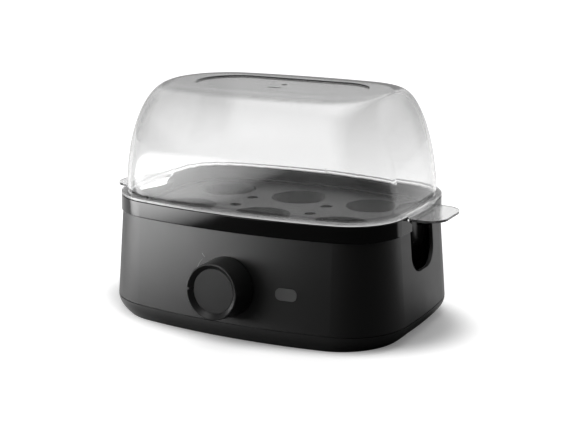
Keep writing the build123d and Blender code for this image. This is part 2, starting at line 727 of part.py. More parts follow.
with BuildPart() as tie_screws:
    with BuildSketch(Plane.XY.offset(TIE_SEAT_Z)):
        with Locations(*four(TIE_X, TIE_Y)):
            Circle(TIE_HEAD_R)
    extrude(amount=-TIE_HEAD_T)
    with BuildSketch(Plane.XY.offset(TIE_SEAT_Z)):
        with Locations(*four(TIE_X, TIE_Y)):
            Circle(TIE_SCREW_R)
    extrude(amount=TIE_SCREW_TOP - TIE_SEAT_Z)
save(tie_screws, "tie_screws")

# Water bowl: pressed pan with a flange that lies on its seal
with BuildPart() as water_bowl:
    with BuildSketch(Plane.XY.offset(BOWL_BOTTOM)):
        add(pan_outline(-BOWL_TAPER))
    with BuildSketch(Plane.XY.offset(BOWL_FLANGE_Z)):
        add(pan_outline(0))
    loft(ruled=True)
    with BuildSketch(Plane.XY.offset(BOWL_FLANGE_Z)):
        add(pan_outline(BOWL_FLANGE))
    extrude(amount=BOWL_T)
    with BuildSketch(Plane.XY.offset(BOWL_BOTTOM + BOWL_T)):
        add(pan_outline(-BOWL_TAPER - BOWL_T))
    with BuildSketch(Plane.XY.offset(BOWL_FLANGE_Z + BOWL_T)):
        add(pan_outline(-BOWL_T))
    loft(ruled=True, mode=Mode.SUBTRACT)
save(water_bowl, "water_bowl")

with BuildPart() as bowl_seal:
    with BuildSketch(Plane.XY.offset(RECESS_FLOOR)):
        add(pan_outline(BOWL_FLANGE))
        add(pan_outline(BOWL_FLANGE - SEAL_WIDE), mode=Mode.SUBTRACT)
    extrude(amount=SEAL_T)
save(bowl_seal, "bowl_seal")

# Heat spreader under the bowl, with four studs for the shield nuts
with BuildPart() as heat_spreader:
    with BuildSketch(Plane.XY.offset(SPREADER_Z)):
        RectangleRounded(2 * SPREADER_HALF_X, 2 * SPREADER_HALF_Y, SPREADER_CORNER)
    extrude(amount=SPREADER_T)
    with BuildSketch(Plane.XY.offset(SPREADER_Z)):
        with Locations(*four(STUD_X, STUD_Y)):
            Circle(STUD_R)
    extrude(amount=-STUD_LENGTH)
save(heat_spreader, "heat_spreader")

# Heating element: one tube round the spreader, with both ends turned down to cold pins
with BuildPart() as heating_element:
    with BuildLine() as element_path:
        FilletPolyline(
            (ELEMENT_LEG_X, ELEMENT_HALF_Y, ELEMENT_LEG_END),
            (ELEMENT_LEG_X, ELEMENT_HALF_Y, ELEMENT_Z),
            (ELEMENT_HALF_X, ELEMENT_HALF_Y, ELEMENT_Z),
            (ELEMENT_HALF_X, -ELEMENT_HALF_Y, ELEMENT_Z),
            (-ELEMENT_HALF_X, -ELEMENT_HALF_Y, ELEMENT_Z),
            (-ELEMENT_HALF_X, ELEMENT_HALF_Y, ELEMENT_Z),
            (-ELEMENT_LEG_X, ELEMENT_HALF_Y, ELEMENT_Z),
            (-ELEMENT_LEG_X, ELEMENT_HALF_Y, ELEMENT_LEG_END),
            radius=[ELEMENT_LEG_BEND] + 4 * [ELEMENT_BEND] + [ELEMENT_LEG_BEND],
        )
    with BuildSketch(Plane(origin=element_path.line @ 0, z_dir=element_path.line % 0)):
        Circle(ELEMENT_R)
    sweep()
    with BuildSketch(Plane.XY.offset(ELEMENT_LEG_END)):
        with Locations((-ELEMENT_LEG_X, ELEMENT_HALF_Y), (ELEMENT_LEG_X, ELEMENT_HALF_Y)):
            Circle(ELEMENT_PIN_R)
    extrude(amount=-ELEMENT_PIN_LENGTH)
save(heating_element, "heating_element")

with BuildPart() as thermostat:
    with BuildSketch(Plane.XY.offset(SPREADER_Z)):
        Circle(THERMOSTAT_R)
    extrude(amount=-THERMOSTAT_TALL)
    with BuildSketch(Plane.XY.offset(THERMOSTAT_NECK_Z)):
        Circle(THERMOSTAT_NECK_R)
    extrude(amount=-THERMOSTAT_NECK_TALL)
    with BuildSketch(Plane.XY.offset(THERMOSTAT_BLADE_Z)):
        with Locations((-THERMOSTAT_BLADE_X, 0), (THERMOSTAT_BLADE_X, 0)):
            Rectangle(BLADE_T, BLADE_WIDTH)
    extrude(amount=-BLADE_LENGTH)
save(thermostat, "thermostat")

FUSE_Z = SPREADER_Z - FUSE_R - TOUCH
with BuildPart() as thermal_fuse:
    with BuildSketch(Plane.YZ):
        with Locations((FUSE_Y, FUSE_Z)):
            Circle(FUSE_R)
    extrude(amount=FUSE_LENGTH / 2, both=True)
save(thermal_fuse, "thermal_fuse")

# Spring clip: a strap bent round the fuse, with two feet on the spreader
with BuildPart() as fuse_clip:
    with BuildSketch(Plane.YZ):
        with Locations((FUSE_Y, FUSE_Z)):
            Circle(FUSE_R + TOUCH + FUSE_CLIP_T)
        with Locations((FUSE_Y, (FUSE_Z + SPREADER_Z) / 2)):
            Rectangle(2 * (FUSE_R + TOUCH + FUSE_CLIP_T), SPREADER_Z - FUSE_Z)
        with Locations((FUSE_Y, SPREADER_Z - FUSE_CLIP_T / 2)):
            Rectangle(2 * (FUSE_R + FUSE_CLIP_T + FUSE_CLIP_FOOT), FUSE_CLIP_T)
        with Locations((FUSE_Y, FUSE_Z)):
            Circle(FUSE_R + TOUCH, mode=Mode.SUBTRACT)
        with Locations((FUSE_Y, (FUSE_Z + SPREADER_Z) / 2)):
            Rectangle(2 * (FUSE_R + TOUCH), SPREADER_Z - FUSE_Z, mode=Mode.SUBTRACT)
        with Locations((FUSE_Y, SPREADER_Z + FUSE_R)):
            Rectangle(2 * (FUSE_R + FUSE_CLIP_T + FUSE_CLIP_FOOT), 2 * FUSE_R, mode=Mode.SUBTRACT)
    extrude(amount=FUSE_CLIP_LENGTH / 2, both=True)
save(fuse_clip, "fuse_clip")

# Heat shield between the element and the wiring
with BuildPart() as heat_shield:
    with BuildSketch(Plane.XY.offset(SHIELD_Z)):
        Rectangle(2 * SHIELD_HALF_X, 2 * SHIELD_HALF_Y)
        with Locations(*four(SHIELD_POST_X - SHIELD_LUG_SHIFT, SHIELD_POST_Y - SHIELD_LUG_SHIFT)):
            Rectangle(SHIELD_LUG, SHIELD_LUG)
        with Locations(*four(SHIELD_POST_X, SHIELD_POST_Y)):
            Circle(SHIELD_SCREW_R + HOLE_CLEAR, mode=Mode.SUBTRACT)
        with Locations(*four(STUD_X, STUD_Y)):
            Circle(STUD_R + HOLE_CLEAR, mode=Mode.SUBTRACT)
        with Locations((-ELEMENT_LEG_X, ELEMENT_HALF_Y), (ELEMENT_LEG_X, ELEMENT_HALF_Y)):
            Circle(ELEMENT_R + PASS_CLEAR, mode=Mode.SUBTRACT)
        Circle(THERMOSTAT_R + PASS_CLEAR, mode=Mode.SUBTRACT)
    extrude(amount=SHIELD_T)
save(heat_shield, "heat_shield")

with BuildPart() as shield_screws:
    with BuildSketch(Plane.XY.offset(SHIELD_Z)):
        with Locations(*four(SHIELD_POST_X, SHIELD_POST_Y)):
            Circle(SHIELD_HEAD_R)
    extrude(amount=-SHIELD_HEAD_T)
    with BuildSketch(Plane.XY.offset(SHIELD_Z)):
        with Locations(*four(SHIELD_POST_X, SHIELD_POST_Y)):
            Circle(SHIELD_SCREW_R)
    extrude(amount=SHIELD_T + SHIELD_SCREW_BITE)
save(shield_screws, "shield_screws")

with BuildPart() as stud_nuts:
    with BuildSketch(Plane.XY.offset(SHIELD_Z)):
        with Locations(*four(STUD_X, STUD_Y)):
            RegularPolygon(NUT_R, NUT_SIDES)
            Circle(STUD_R + TOUCH, mode=Mode.SUBTRACT)
    extrude(amount=-NUT_T)
save(stud_nuts, "stud_nuts")

# Control bracket: steel plate on two bosses behind the front wall
with BuildPart() as control_bracket:
    with BuildSketch(KNOB_PLANE.offset(BRACKET_Z)):
        RectangleRounded(2 * CONTROL_PLATE_HALF_X, 2 * CONTROL_PLATE_HALF_Y, BRACKET_HEAD_R)
        Circle(CONTROL_BUSH_R + HOLE_CLEAR, mode=Mode.SUBTRACT)
        with Locations((-CONTROL_BOSS_X, 0), (CONTROL_BOSS_X, 0)):
            Circle(BRACKET_SCREW_R + HOLE_CLEAR, mode=Mode.SUBTRACT)
    extrude(amount=-CONTROL_PLATE_T)
save(control_bracket, "control_bracket")

with BuildPart() as bracket_screws:
    with BuildSketch(KNOB_PLANE.offset(CONTROL_FRONT)):
        with Locations((-CONTROL_BOSS_X, 0), (CONTROL_BOSS_X, 0)):
            Circle(BRACKET_HEAD_R)
    extrude(amount=-BRACKET_HEAD_T)
    with BuildSketch(KNOB_PLANE.offset(CONTROL_FRONT)):
        with Locations((-CONTROL_BOSS_X, 0), (CONTROL_BOSS_X, 0)):
            Circle(BRACKET_SCREW_R)
    extrude(amount=CONTROL_PLATE_T + CONTROL_BOSS_LENGTH - HOLE_CLEAR)
save(bracket_screws, "bracket_screws")

# Rotary control: square body, threaded bush through the bracket, two blade terminals
with BuildPart() as rotary_control:
    with BuildSketch(KNOB_PLANE.offset(CONTROL_FRONT)):
        RectangleRounded(2 * CONTROL_HALF, 2 * CONTROL_HALF, CONTROL_CORNER)
    extrude(amount=-CONTROL_LENGTH)
    with BuildSketch(KNOB_PLANE.offset(CONTROL_FRONT)):
        Circle(CONTROL_BUSH_R)
    extrude(amount=CONTROL_PLATE_T + CONTROL_BUSH_PROUD)
    with BuildSketch(KNOB_PLANE.offset(CONTROL_REAR)):
        with Locations((-BLADE_X, 0), (BLADE_X, 0)):
            Rectangle(BLADE_WIDTH, BLADE_T)
    extrude(amount=-CONTROL_BLADE_LENGTH)
    with BuildSketch(KNOB_PLANE.offset(CONTROL_REAR + SHAFT_SEAT)):
        Circle(SHAFT_R + SHAFT_CLEAR)
    extrude(amount=CONTROL_LENGTH + CONTROL_PLATE_T + CONTROL_BUSH_PROUD, mode=Mode.SUBTRACT)
save(rotary_control, "rotary_control")

with BuildPart() as bush_nut:
    with BuildSketch(KNOB_PLANE.offset(BRACKET_Z)):
        RegularPolygon(CONTROL_NUT_R, NUT_SIDES)
        Circle(CONTROL_BUSH_R + TOUCH, mode=Mode.SUBTRACT)
    extrude(amount=CONTROL_NUT_T)
save(bush_nut, "bush_nut")

# Shaft with a flat where the knob's hub grips it
with BuildPart() as control_shaft:
    with BuildSketch(KNOB_PLANE.offset(CONTROL_REAR + SHAFT_SEAT + BODY_GAP)):
        Circle(SHAFT_R)
    extrude(amount=SHAFT_END - CONTROL_REAR - SHAFT_SEAT - BODY_GAP - TOUCH)
    with BuildSketch(KNOB_PLANE.offset(KNOB_HUB_START)):
        with Locations((0, SHAFT_R)):
            Rectangle(2 * SHAFT_R, 2 * SHAFT_FLAT)
    extrude(amount=SHAFT_END, mode=Mode.SUBTRACT)
save(control_shaft, "control_shaft")

# Knob: flared shell with an inward bevel round a sunk face, a hub, and a notch at nine o'clock
with BuildPart() as knob:
    with BuildSketch(KNOB_SIDE_PLANE):
        with BuildLine():
            Polyline(
                (0, SHAFT_END),
                (SHAFT_R + TOUCH, SHAFT_END),
                (SHAFT_R + TOUCH, KNOB_HUB_START),
                (KNOB_HUB_R, KNOB_HUB_START),
                (KNOB_HUB_R, KNOB_WEB_Z),
                (KNOB_FRONT_R - KNOB_WALL, KNOB_WEB_Z),
                (KNOB_BASE_R - KNOB_WALL, KNOB_GAP),
                (KNOB_BASE_R, KNOB_GAP),
                (KNOB_FRONT_R, KNOB_REACH - KNOB_EDGE),
                (KNOB_FRONT_R - KNOB_EDGE, KNOB_REACH),
                (KNOB_FRONT_R - KNOB_EDGE - KNOB_LIP, KNOB_REACH),
                (KNOB_FACE_R, KNOB_FACE_Z),
                (KNOB_FACE_R, KNOB_SEAT_Z),
                (0, KNOB_SEAT_Z),
                close=True,
            )
        make_face()
    revolve(axis=KNOB_AXIS)
    with BuildSketch(KNOB_PLANE.offset(KNOB_FACE_Z)):
        with Locations((-(KNOB_FACE_R - POINTER_WIDTH + KNOB_BASE_R) / 2, 0)):
            Rectangle(KNOB_BASE_R - KNOB_FACE_R + POINTER_WIDTH, POINTER_WIDTH)
    extrude(amount=KNOB_FACE_DEPTH, mode=Mode.SUBTRACT)
save(knob, "knob")

with BuildPart() as knob_face:
    with BuildSketch(KNOB_PLANE.offset(KNOB_SEAT_Z)):
        Circle(KNOB_FACE_R - TOUCH)
    extrude(amount=KNOB_FACE_T)
    fillet(knob_face.edges().filter_by(GeomType.CIRCLE).sort_by(KNOB_AXIS)[-1], KNOB_FACE_EDGE)
save(knob_face, "knob_face")

# Pointer: dark strip laid in the notch
with BuildPart() as knob_pointer:
    with BuildSketch(KNOB_PLANE.offset(KNOB_FACE_Z)):
        with Locations((-(KNOB_FACE_R + POINTER_REACH) / 2, 0)):
            Rectangle(POINTER_REACH - KNOB_FACE_R, POINTER_WIDTH - 2 * TOUCH)
    extrude(amount=POINTER_T)
save(knob_pointer, "knob_pointer")

with BuildPart() as hub_spring:
    with BuildSketch(KNOB_PLANE.offset(SPRING_START)):
        Circle(KNOB_HUB_R + TOUCH + SPRING_T)
        Circle(KNOB_HUB_R + TOUCH, mode=Mode.SUBTRACT)
    extrude(amount=SPRING_LENGTH)
save(hub_spring, "hub_spring")

# Power light: lens in the wall, lamp in its holder, and the board behind
with BuildPart() as light_lens:
    with BuildSketch(LIGHT_PLANE.offset(LENS_FLANGE_Z)):
        RectangleRounded(LIGHT_WIDTH, LIGHT_TALL, LIGHT_CORNER)
    extrude(amount=LIGHT_PROUD - LENS_FLANGE_Z)
    with BuildSketch(LIGHT_PLANE.offset(LENS_FLANGE_Z)):
        RectangleRounded(
            LIGHT_WIDTH + 2 * LIGHT_FLANGE, LIGHT_TALL + 2 * LIGHT_FLANGE, LIGHT_CORNER
        )
    extrude(amount=-LIGHT_FLANGE_T)
save(light_lens, "light_lens")

with BuildPart() as lamp_holder:
    with BuildSketch(LIGHT_PLANE.offset(HOLDER_Z)):
        RectangleRounded(LIGHT_WIDTH, LIGHT_TALL + 2 * LIGHT_FLANGE, LIGHT_FLANGE)
        Circle(LAMP_R + HOLE_CLEAR, mode=Mode.SUBTRACT)
    extrude(amount=-LAMP_HOLDER_LENGTH)
save(lamp_holder, "lamp_holder")

with BuildPart() as indicator_lamp:
    with BuildSketch(LIGHT_PLANE.offset(BOARD_Z)):
        Circle(LAMP_R)
    extrude(amount=LAMP_LENGTH)
    fillet(indicator_lamp.edges().sort_by(Axis(LIGHT_PLANE.origin, LIGHT_PLANE.z_dir))[-1], LAMP_TIP)
save(indicator_lamp, "indicator_lamp")

with BuildPart() as lamp_board:
    with BuildSketch(LIGHT_PLANE.offset(BOARD_Z)):
        RectangleRounded(LIGHT_WIDTH + 2 * LIGHT_FLANGE, LIGHT_TALL + 2 * LIGHT_FLANGE, 1)
    extrude(amount=-LAMP_BOARD_T)
save(lamp_board, "lamp_board")

# Cable gland in the back wall
with BuildPart() as cable_gland:
    with BuildSketch(GLAND_PLANE):
        Circle(GLAND_FLANGE_R)
    extrude(amount=GLAND_FLANGE_T)
    fillet(cable_gland.edges().sort_by(Axis(GLAND_PLANE.origin, GLAND_PLANE.z_dir))[-1], GLAND_EDGE)
    with BuildSketch(GLAND_PLANE):
        Circle(GLAND_BODY_R)
    extrude(amount=-WALL - FIT_GAP - GLAND_RING_T)
    with BuildSketch(GLAND_PLANE.offset(-WALL - FIT_GAP)):
        Circle(GLAND_RING_R)
    extrude(amount=-GLAND_RING_T)
    with BuildSketch(GLAND_PLANE.offset(GLAND_FLANGE_T)):
        Circle(GLAND_BORE_R)
    extrude(amount=-GLAND_FLANGE_T - WALL - FIT_GAP - GLAND_RING_T, mode=Mode.SUBTRACT)
save(cable_gland, "cable_gland")

# Terminal block on the pan floor
TERMINAL_X = [GLAND_X + step * TERMINAL_PITCH for step in (-1, 0, 1)]
TERMINAL_FRONT = TERMINAL_Y - TERMINAL_DEPTH / 2
with BuildPart() as terminal_block:
    with BuildSketch(Plane.XY.offset(PAN_FLOOR_TOP)):
        with Locations((GLAND_X, TERMINAL_Y)):
            Rectangle(TERMINAL_WIDTH, TERMINAL_DEPTH)
    extrude(amount=TERMINAL_TALL)
    with BuildSketch(Plane.XY.offset(PAN_FLOOR_TOP + TERMINAL_TALL)):
        with Locations(*[(x, TERMINAL_Y) for x in TERMINAL_X]):
            Circle(TERMINAL_BORE_R)
    extrude(amount=-TERMINAL_SCREW_DEEP, mode=Mode.SUBTRACT)
save(terminal_block, "terminal_block")

with BuildPart() as terminal_screws:
    with BuildSketch(Plane.XY.offset(PAN_FLOOR_TOP + TERMINAL_TALL - TERMINAL_SCREW_DEEP)):
        with Locations(*[(x, TERMINAL_Y) for x in TERMINAL_X]):
            Circle(TERMINAL_BORE_R - HOLE_CLEAR)
    extrude(amount=TERMINAL_SCREW_TALL)
save(terminal_screws, "terminal_screws")

# Internal leads: straight runs with rounded turns, each ending at a terminal
feed_tip = KNOB_PLANE.from_local_coords((-BLADE_X, 0, CONTROL_TIP - LEAD_TIP_GAP))
feed_turn = KNOB_PLANE.from_local_coords((-BLADE_X, 0, CONTROL_TIP - LEAD_RUN))
control_tip = KNOB_PLANE.from_local_coords((BLADE_X, 0, CONTROL_TIP - LEAD_TIP_GAP))
lamp_tip = LIGHT_PLANE.from_local_coords((0, 0, BOARD_Z - LAMP_BOARD_T - LEAD_TIP_GAP))
lamp_turn = LIGHT_PLANE.from_local_coords((0, 0, BOARD_Z - LAMP_BOARD_T - LEAD_RUN))
block_y = TERMINAL_FRONT - LEAD_TIP_GAP
blade_tip_z = THERMOSTAT_TIP - LEAD_TIP_GAP
pin_tip_z = ELEMENT_PIN_END - LEAD_TIP_GAP
LEAD_ROUTES = [
    [
        feed_tip,
        feed_turn,
        (-BLADE_X, feed_turn.Y, LEAD_LOW_Z),
        (TERMINAL_X[0], feed_turn.Y, LEAD_LOW_Z),
        (TERMINAL_X[0], block_y, LEAD_LOW_Z),
    ],
    [
        control_tip,
        (THERMOSTAT_BLADE_X, 0, LEAD_MID_Z),
        (THERMOSTAT_BLADE_X, 0, blade_tip_z),
    ],
    [
        (-THERMOSTAT_BLADE_X, 0, blade_tip_z),
        (-THERMOSTAT_BLADE_X, 0, LEAD_MID_Z),
        (-ELEMENT_LEG_X, ELEMENT_HALF_Y, LEAD_MID_Z),
        (-ELEMENT_LEG_X, ELEMENT_HALF_Y, pin_tip_z),
    ],
    [
        (ELEMENT_LEG_X, ELEMENT_HALF_Y, pin_tip_z),
        (ELEMENT_LEG_X, ELEMENT_HALF_Y, LEAD_LOW_Z),
        (TERMINAL_X[2], ELEMENT_HALF_Y, LEAD_LOW_Z),
        (TERMINAL_X[2], block_y, LEAD_LOW_Z),
    ],
    [
        lamp_tip,
        lamp_turn,
        (lamp_turn.X, lamp_turn.Y, LEAD_HIGH_Z),
        (TERMINAL_X[1], 0, LEAD_HIGH_Z),
        (TERMINAL_X[1], ELEMENT_HALF_Y, LEAD_LOW_Z),
        (TERMINAL_X[1], block_y, LEAD_LOW_Z),
    ],
]
with BuildPart() as internal_leads:
    for route in LEAD_ROUTES:
        with BuildLine() as lead_path:
            FilletPolyline(*route, radius=LEAD_BEND)
        with BuildSketch(Plane(origin=lead_path.line @ 0, z_dir=lead_path.line % 0)):
            Circle(LEAD_R)
        sweep()
save(internal_leads, "internal_leads")

# Egg tray: plate with six dished seats and steam holes between them
with BuildPart() as egg_tray:
    with BuildSketch(Plane.XY.offset(TRAY_Z)):
        add(tray_outline(0))
    extrude(amount=TRAY_T)
    with BuildSketch(Plane.XY.offset(TRAY_Z + TRAY_T)):
        add(tray_outline(0))
        add(tray_outline(-TRAY_T), mode=Mode.SUBTRACT)
    extrude(amount=TRAY_RIM)
    with Locations((0, 0, TRAY_Z - SEAT_DEPTH)):
        with GridLocations(SEAT_PITCH_X, SEAT_PITCH_Y, SEAT_COLUMNS, SEAT_ROWS):
            Cone(SEAT_FLOOR_R, SEAT_R, SEAT_DEPTH, align=(Align.CENTER, Align.CENTER, Align.MIN))
    with Locations((0, 0, TRAY_Z - SEAT_DEPTH + TRAY_T)):
        with GridLocations(SEAT_PITCH_X, SEAT_PITCH_Y, SEAT_COLUMNS, SEAT_ROWS):
            Cone(
                SEAT_FLOOR_R - TRAY_T,
                SEAT_R - TRAY_T,
                SEAT_DEPTH,
                align=(Align.CENTER, Align.CENTER, Align.MIN),
                mode=Mode.SUBTRACT,
            )
    with BuildSketch(Plane.XY.offset(TRAY_Z - SEAT_DEPTH)):
        with GridLocations(SEAT_PITCH_X, SEAT_PITCH_Y, SEAT_COLUMNS, SEAT_ROWS):
            Circle(SEAT_HOLE_R)
        with GridLocations(SEAT_PITCH_X, STEAM_PITCH_Y, SEAT_COLUMNS - 1, 2):
            Circle(STEAM_HOLE_R)
    extrude(amount=SEAT_DEPTH + TRAY_T, mode=Mode.SUBTRACT)
save(egg_tray, "egg_tray")

# Drop walls that join the lid's flange to its lower tabs
with BuildPart() as tab_walls:
    with BuildSketch(Plane.XY.offset(TAB_Z)):
        add(body_outline(RIM_INSET))
        add(body_outline(RIM_INSET + TAB_WALL), mode=Mode.SUBTRACT)
    extrude(amount=TAB_DROP)
    with BuildSketch(Plane.YZ):
        with BuildLine():
            Polyline(
                (-TAB_HALF, TAB_Z),
                (-TAB_HALF_TOP, FLANGE_Z),
                (TAB_HALF_TOP, FLANGE_Z),
                (TAB_HALF, TAB_Z),
                close=True,
            )
        make_face()
    extrude(amount=2 * HALF_WIDTH, both=True, mode=Mode.INTERSECT)

# Lid: domed shell, flange on the rim, locating lip, two tabs, sunk top and steam vents
TAB_ROOT_X = HALF_WIDTH - RIM_INSET - TAB_WALL
with BuildPart() as lid:
    for step in range(DOME_SECTIONS):
        rise, outline = dome_outline(step / (DOME_SECTIONS - 1), 0)
        with BuildSketch(Plane.XY.offset(DOME_Z + rise)):
            add(outline)
    loft()
    with BuildSketch(Plane.XY.offset(FLANGE_Z)):
        add(body_outline(RIM_INSET))
    extrude(amount=FLANGE_T)
    with BuildSketch(Plane.XY.offset(FLANGE_Z)):
        add(body_outline(RIM_INSET + BAND_WALL + LIP_GAP))
    extrude(amount=-LIP_DROP)
    with BuildSketch(Plane.XY.offset(FLANGE_Z)):
        add(body_outline(RIM_INSET + BAND_WALL + LIP_GAP + LIP_T))
    extrude(amount=-LIP_DROP, mode=Mode.SUBTRACT)
    with BuildSketch(Plane.XY.offset(FLANGE_Z)):
        add(dome_outline(0, LID_T)[1])
    extrude(amount=FLANGE_T, mode=Mode.SUBTRACT)
    for step in range(DOME_SECTIONS):
        rise, outline = dome_outline(step / (DOME_SECTIONS - 1), LID_T)
        with BuildSketch(Plane.XY.offset(DOME_Z + rise)):
            add(outline)
    loft(mode=Mode.SUBTRACT)
    with BuildSketch(Plane.XY.offset(DOME_Z + DOME_RISE)):
        RectangleRounded(2 * TOP_HALF_X, 2 * TOP_HALF_Y, TOP_CORNER)
    extrude(amount=-TOP_SUNK, mode=Mode.SUBTRACT)
    with BuildSketch(Plane.XY.offset(DOME_Z + DOME_RISE)):
        with Locations((0, VENT_SLOT_Y)):
            SlotOverall(VENT_SLOT_LENGTH, VENT_SLOT_WIDTH)
        with Locations((0, VENT_HOLE_Y)):
            Circle(VENT_HOLE_R)
    extrude(amount=-LID_T, mode=Mode.SUBTRACT)
    add(tab_walls.part)
    for side in (-1, 1):
        with BuildSketch(Plane.XY.offset(TAB_Z)):
            with Locations((side * TAB_TIP_X / 2, 0)):
                RectangleRounded(TAB_TIP_X, 2 * TAB_HALF, TAB_CORNER)
            Rectangle(2 * TAB_ROOT_X, 2 * HALF_DEPTH, mode=Mode.SUBTRACT)
        extrude(amount=TAB_T)
save(lid, "lid")
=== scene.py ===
import json
from math import cos, pi, radians, sin

import bmesh
import bpy
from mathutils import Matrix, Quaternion, Vector
from mathutils.bvhtree import BVHTree


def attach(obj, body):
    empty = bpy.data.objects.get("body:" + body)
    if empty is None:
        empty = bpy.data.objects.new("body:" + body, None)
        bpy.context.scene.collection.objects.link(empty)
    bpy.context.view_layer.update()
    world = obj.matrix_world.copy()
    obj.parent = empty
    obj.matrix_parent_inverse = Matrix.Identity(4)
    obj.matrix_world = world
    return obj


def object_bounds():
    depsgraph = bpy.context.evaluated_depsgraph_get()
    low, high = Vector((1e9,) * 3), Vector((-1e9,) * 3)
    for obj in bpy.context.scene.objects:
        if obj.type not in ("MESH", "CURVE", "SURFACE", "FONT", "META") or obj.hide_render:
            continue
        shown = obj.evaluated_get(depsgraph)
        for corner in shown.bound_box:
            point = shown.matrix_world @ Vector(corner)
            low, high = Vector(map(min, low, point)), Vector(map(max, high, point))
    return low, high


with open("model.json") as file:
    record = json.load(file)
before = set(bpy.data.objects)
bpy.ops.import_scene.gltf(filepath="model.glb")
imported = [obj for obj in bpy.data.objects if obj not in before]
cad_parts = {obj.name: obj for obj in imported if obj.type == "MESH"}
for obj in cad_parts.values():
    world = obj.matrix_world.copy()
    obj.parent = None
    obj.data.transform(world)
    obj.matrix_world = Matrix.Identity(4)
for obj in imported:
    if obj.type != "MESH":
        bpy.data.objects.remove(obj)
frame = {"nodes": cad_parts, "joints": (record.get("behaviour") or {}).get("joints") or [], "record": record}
cad_low, cad_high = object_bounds()
NODES = frame["nodes"]
WHITE = (1, 1, 1, 1)

# Camera, in metres: where it stands, what it looks at, and its lens and sensor in millimetres
CAMERA_AT = Vector((0.3930, -0.7425, 0.2798))
CAMERA_AIM = Vector((0.00748, 0.00386, 0.06235))
CAMERA_LENS = 77.48
CAMERA_SENSOR = 36

# Lamps: name, place, aim, and width and height, all in metres; radiance, and roll in degrees
LAMPS = (
    ("side_softbox", (-0.267, -0.198, 0.05), (-0.155, 0.026, 0.05), (0.53, 0.085), 10.0, 6.5),
    ("front_softbox", (-0.32, -0.62, 0.68), (0.0, 0.0, 0.08), (1.1, 1.3), 0.5, 0.0),
    ("back_softbox", (0.55, 0.75, 0.55), (0.0, 0.0, 0.06), (0.9, 0.6), 1.0, 0.0),
    ("top_softbox", (0.0, 0.1, 1.3), (0.0, 0.0, 0.06), (1.6, 1.3), 2.0, 0.0),
)

# Floor that is shown: half its width in metres, its colour, and a glow that grows with the distance
# from the middle, in footprints. The glow goes from FLOOR_CONTACT to FLOOR_NEAR between FLOOR_FOOT
# and FLOOR_FOOT_END, a painted contact shadow round the object's foot, and on to plain white between
# FLOOR_RISE and FLOOR_PLAIN.
FLOOR_HALF = 6.0
FLOOR_WHITE = 0.85
FLOOR_CONTACT = 0.15
FLOOR_NEAR = 0.72
FLOOR_FOOT = 0.92
FLOOR_FOOT_END = 1.2
FLOOR_RISE = 1.5
FLOOR_PLAIN = 4.0

# Floor that lights and reflects, but isn't shown: dim in front, and glowing behind a line across
# FLOOR_BACKWARDS. The glow starts and is full at these distances behind the middle, in metres.
FLOOR_DIM = 0.06
FLOOR_BACK = 0.8
FLOOR_BACKWARDS = (-0.5, 0.85, 0)
FLOOR_BACK_START = -0.04
FLOOR_BACK_FULL = 0.01

# Room that lights and reflects, but isn't shown: dark in front, and palest where the +Y part of a
# ray's direction reaches ROOM_BACK_FULL
ROOM_FRONT = 0.015
ROOM_BACK = 0.5
ROOM_BACK_FULL = 0.7

# How clear the lid's plastic is: its walls, and the painted shade that greys its ends and crown. The masks
# for this painted shade go by how far a face turns, to the side for the ends and upwards for the crown, and
# by height.
WALL_CLEAR = 0.85
SHOULDER_PAINTED_SHADE = 0.5
END_TURN_START = 0.25
END_TURN_FULL = 0.6
END_LOW = 0.10
END_HIGH = 0.150
END_SHARE = 0.7
CROWN_START = 0.86
CROWN_FULL = 0.99
CROWN_LOW = 0.12
CROWN_HIGH = 0.145

# The lid's faces that turn away from a point on its axis are polished, and the others are satin
LID_MIDDLE = (0, 0, 0.10)
LID_TURN = 0.001
OUTSIDE_ROUGH = 0.02
INSIDE_ROUGH = 0.12
LID_IOR = 1.49

# Plastics: refraction, how strongly a face mirrors light, and the grain of a moulded face, in
# cells per metre and metres of depth
PLASTIC_IOR = 1.5
SHEEN = 0.5
SHEEN_STRONG = 1.0
SHEEN_FLAT = 0.05
GRAIN = 2600
GRAIN_COARSE = 900
GRAIN_DEPTH = 0.00003
GRAIN_SHALLOW = 0.00001
GRAIN_FAINT = 0.000005

# Noise in the finishes: cells per metre, detail, and roughness where it isn't the usual
MOTTLED = (40, 3)
UNEVEN = (90, 4, 0.6)
GRAIN_NOISE = (3, 0.7)
GLOSS_MOTTLED = (60, 2)
GLOSS_UNEVEN = (160, 4, 0.6)
GLOSS_RIPPLE = (120, 1)
LID_RIPPLE = (35, 1)
METAL_GRAIN = (900, 3, 0.6)

# Relief of the ripples: depth in metres, and strength
GLOSS_RELIEF = (0.00002, 0.5)
LID_RELIEF = (0.00005, 0.3)
METAL_RELIEF = 0.00001

# Dial printed on the front round the knob: an arc of its scale, and the tick at its off end, in
# metres and degrees. Each is a thin bar that stands a little proud of the face and goes into it.
DIAL_R = 0.0243
DIAL_START = 139.6
DIAL_END = 220.0
DIAL_STEPS = 40
TICK_ANGLE = 134.4
TICK_IN = 0.0239
TICK_OUT = 0.0271
TICK_STEPS = 4
PRINT_HALF_WIDTH = 0.00024
PRINT_PROUD = 0.00006
PRINT_SUNK = 0.00004
PRINT_SEARCH = 0.02
KNOB_JOINT = next(joint for joint in frame["joints"] if joint["name"] == "knob_turn")
KNOB_CENTRE = Vector(KNOB_JOINT["pos_m"])
KNOB_AXIS = -Vector(KNOB_JOINT["axis"]).normalized()


def grey(value):
    """A colour with the same red, green and blue."""
    return (value, value, value)


def add_object(name, data):
    """A new object, linked to the scene."""
    thing = bpy.data.objects.new(name, data)
    bpy.context.scene.collection.objects.link(thing)
    return thing


def new_material(name):
    """An empty node material with its output, ready for a shader."""
    material = bpy.data.materials.new(name)
    material.use_nodes = True
    material.node_tree.nodes.clear()
    output = material.node_tree.nodes.new("ShaderNodeOutputMaterial")
    return material, material.node_tree, output


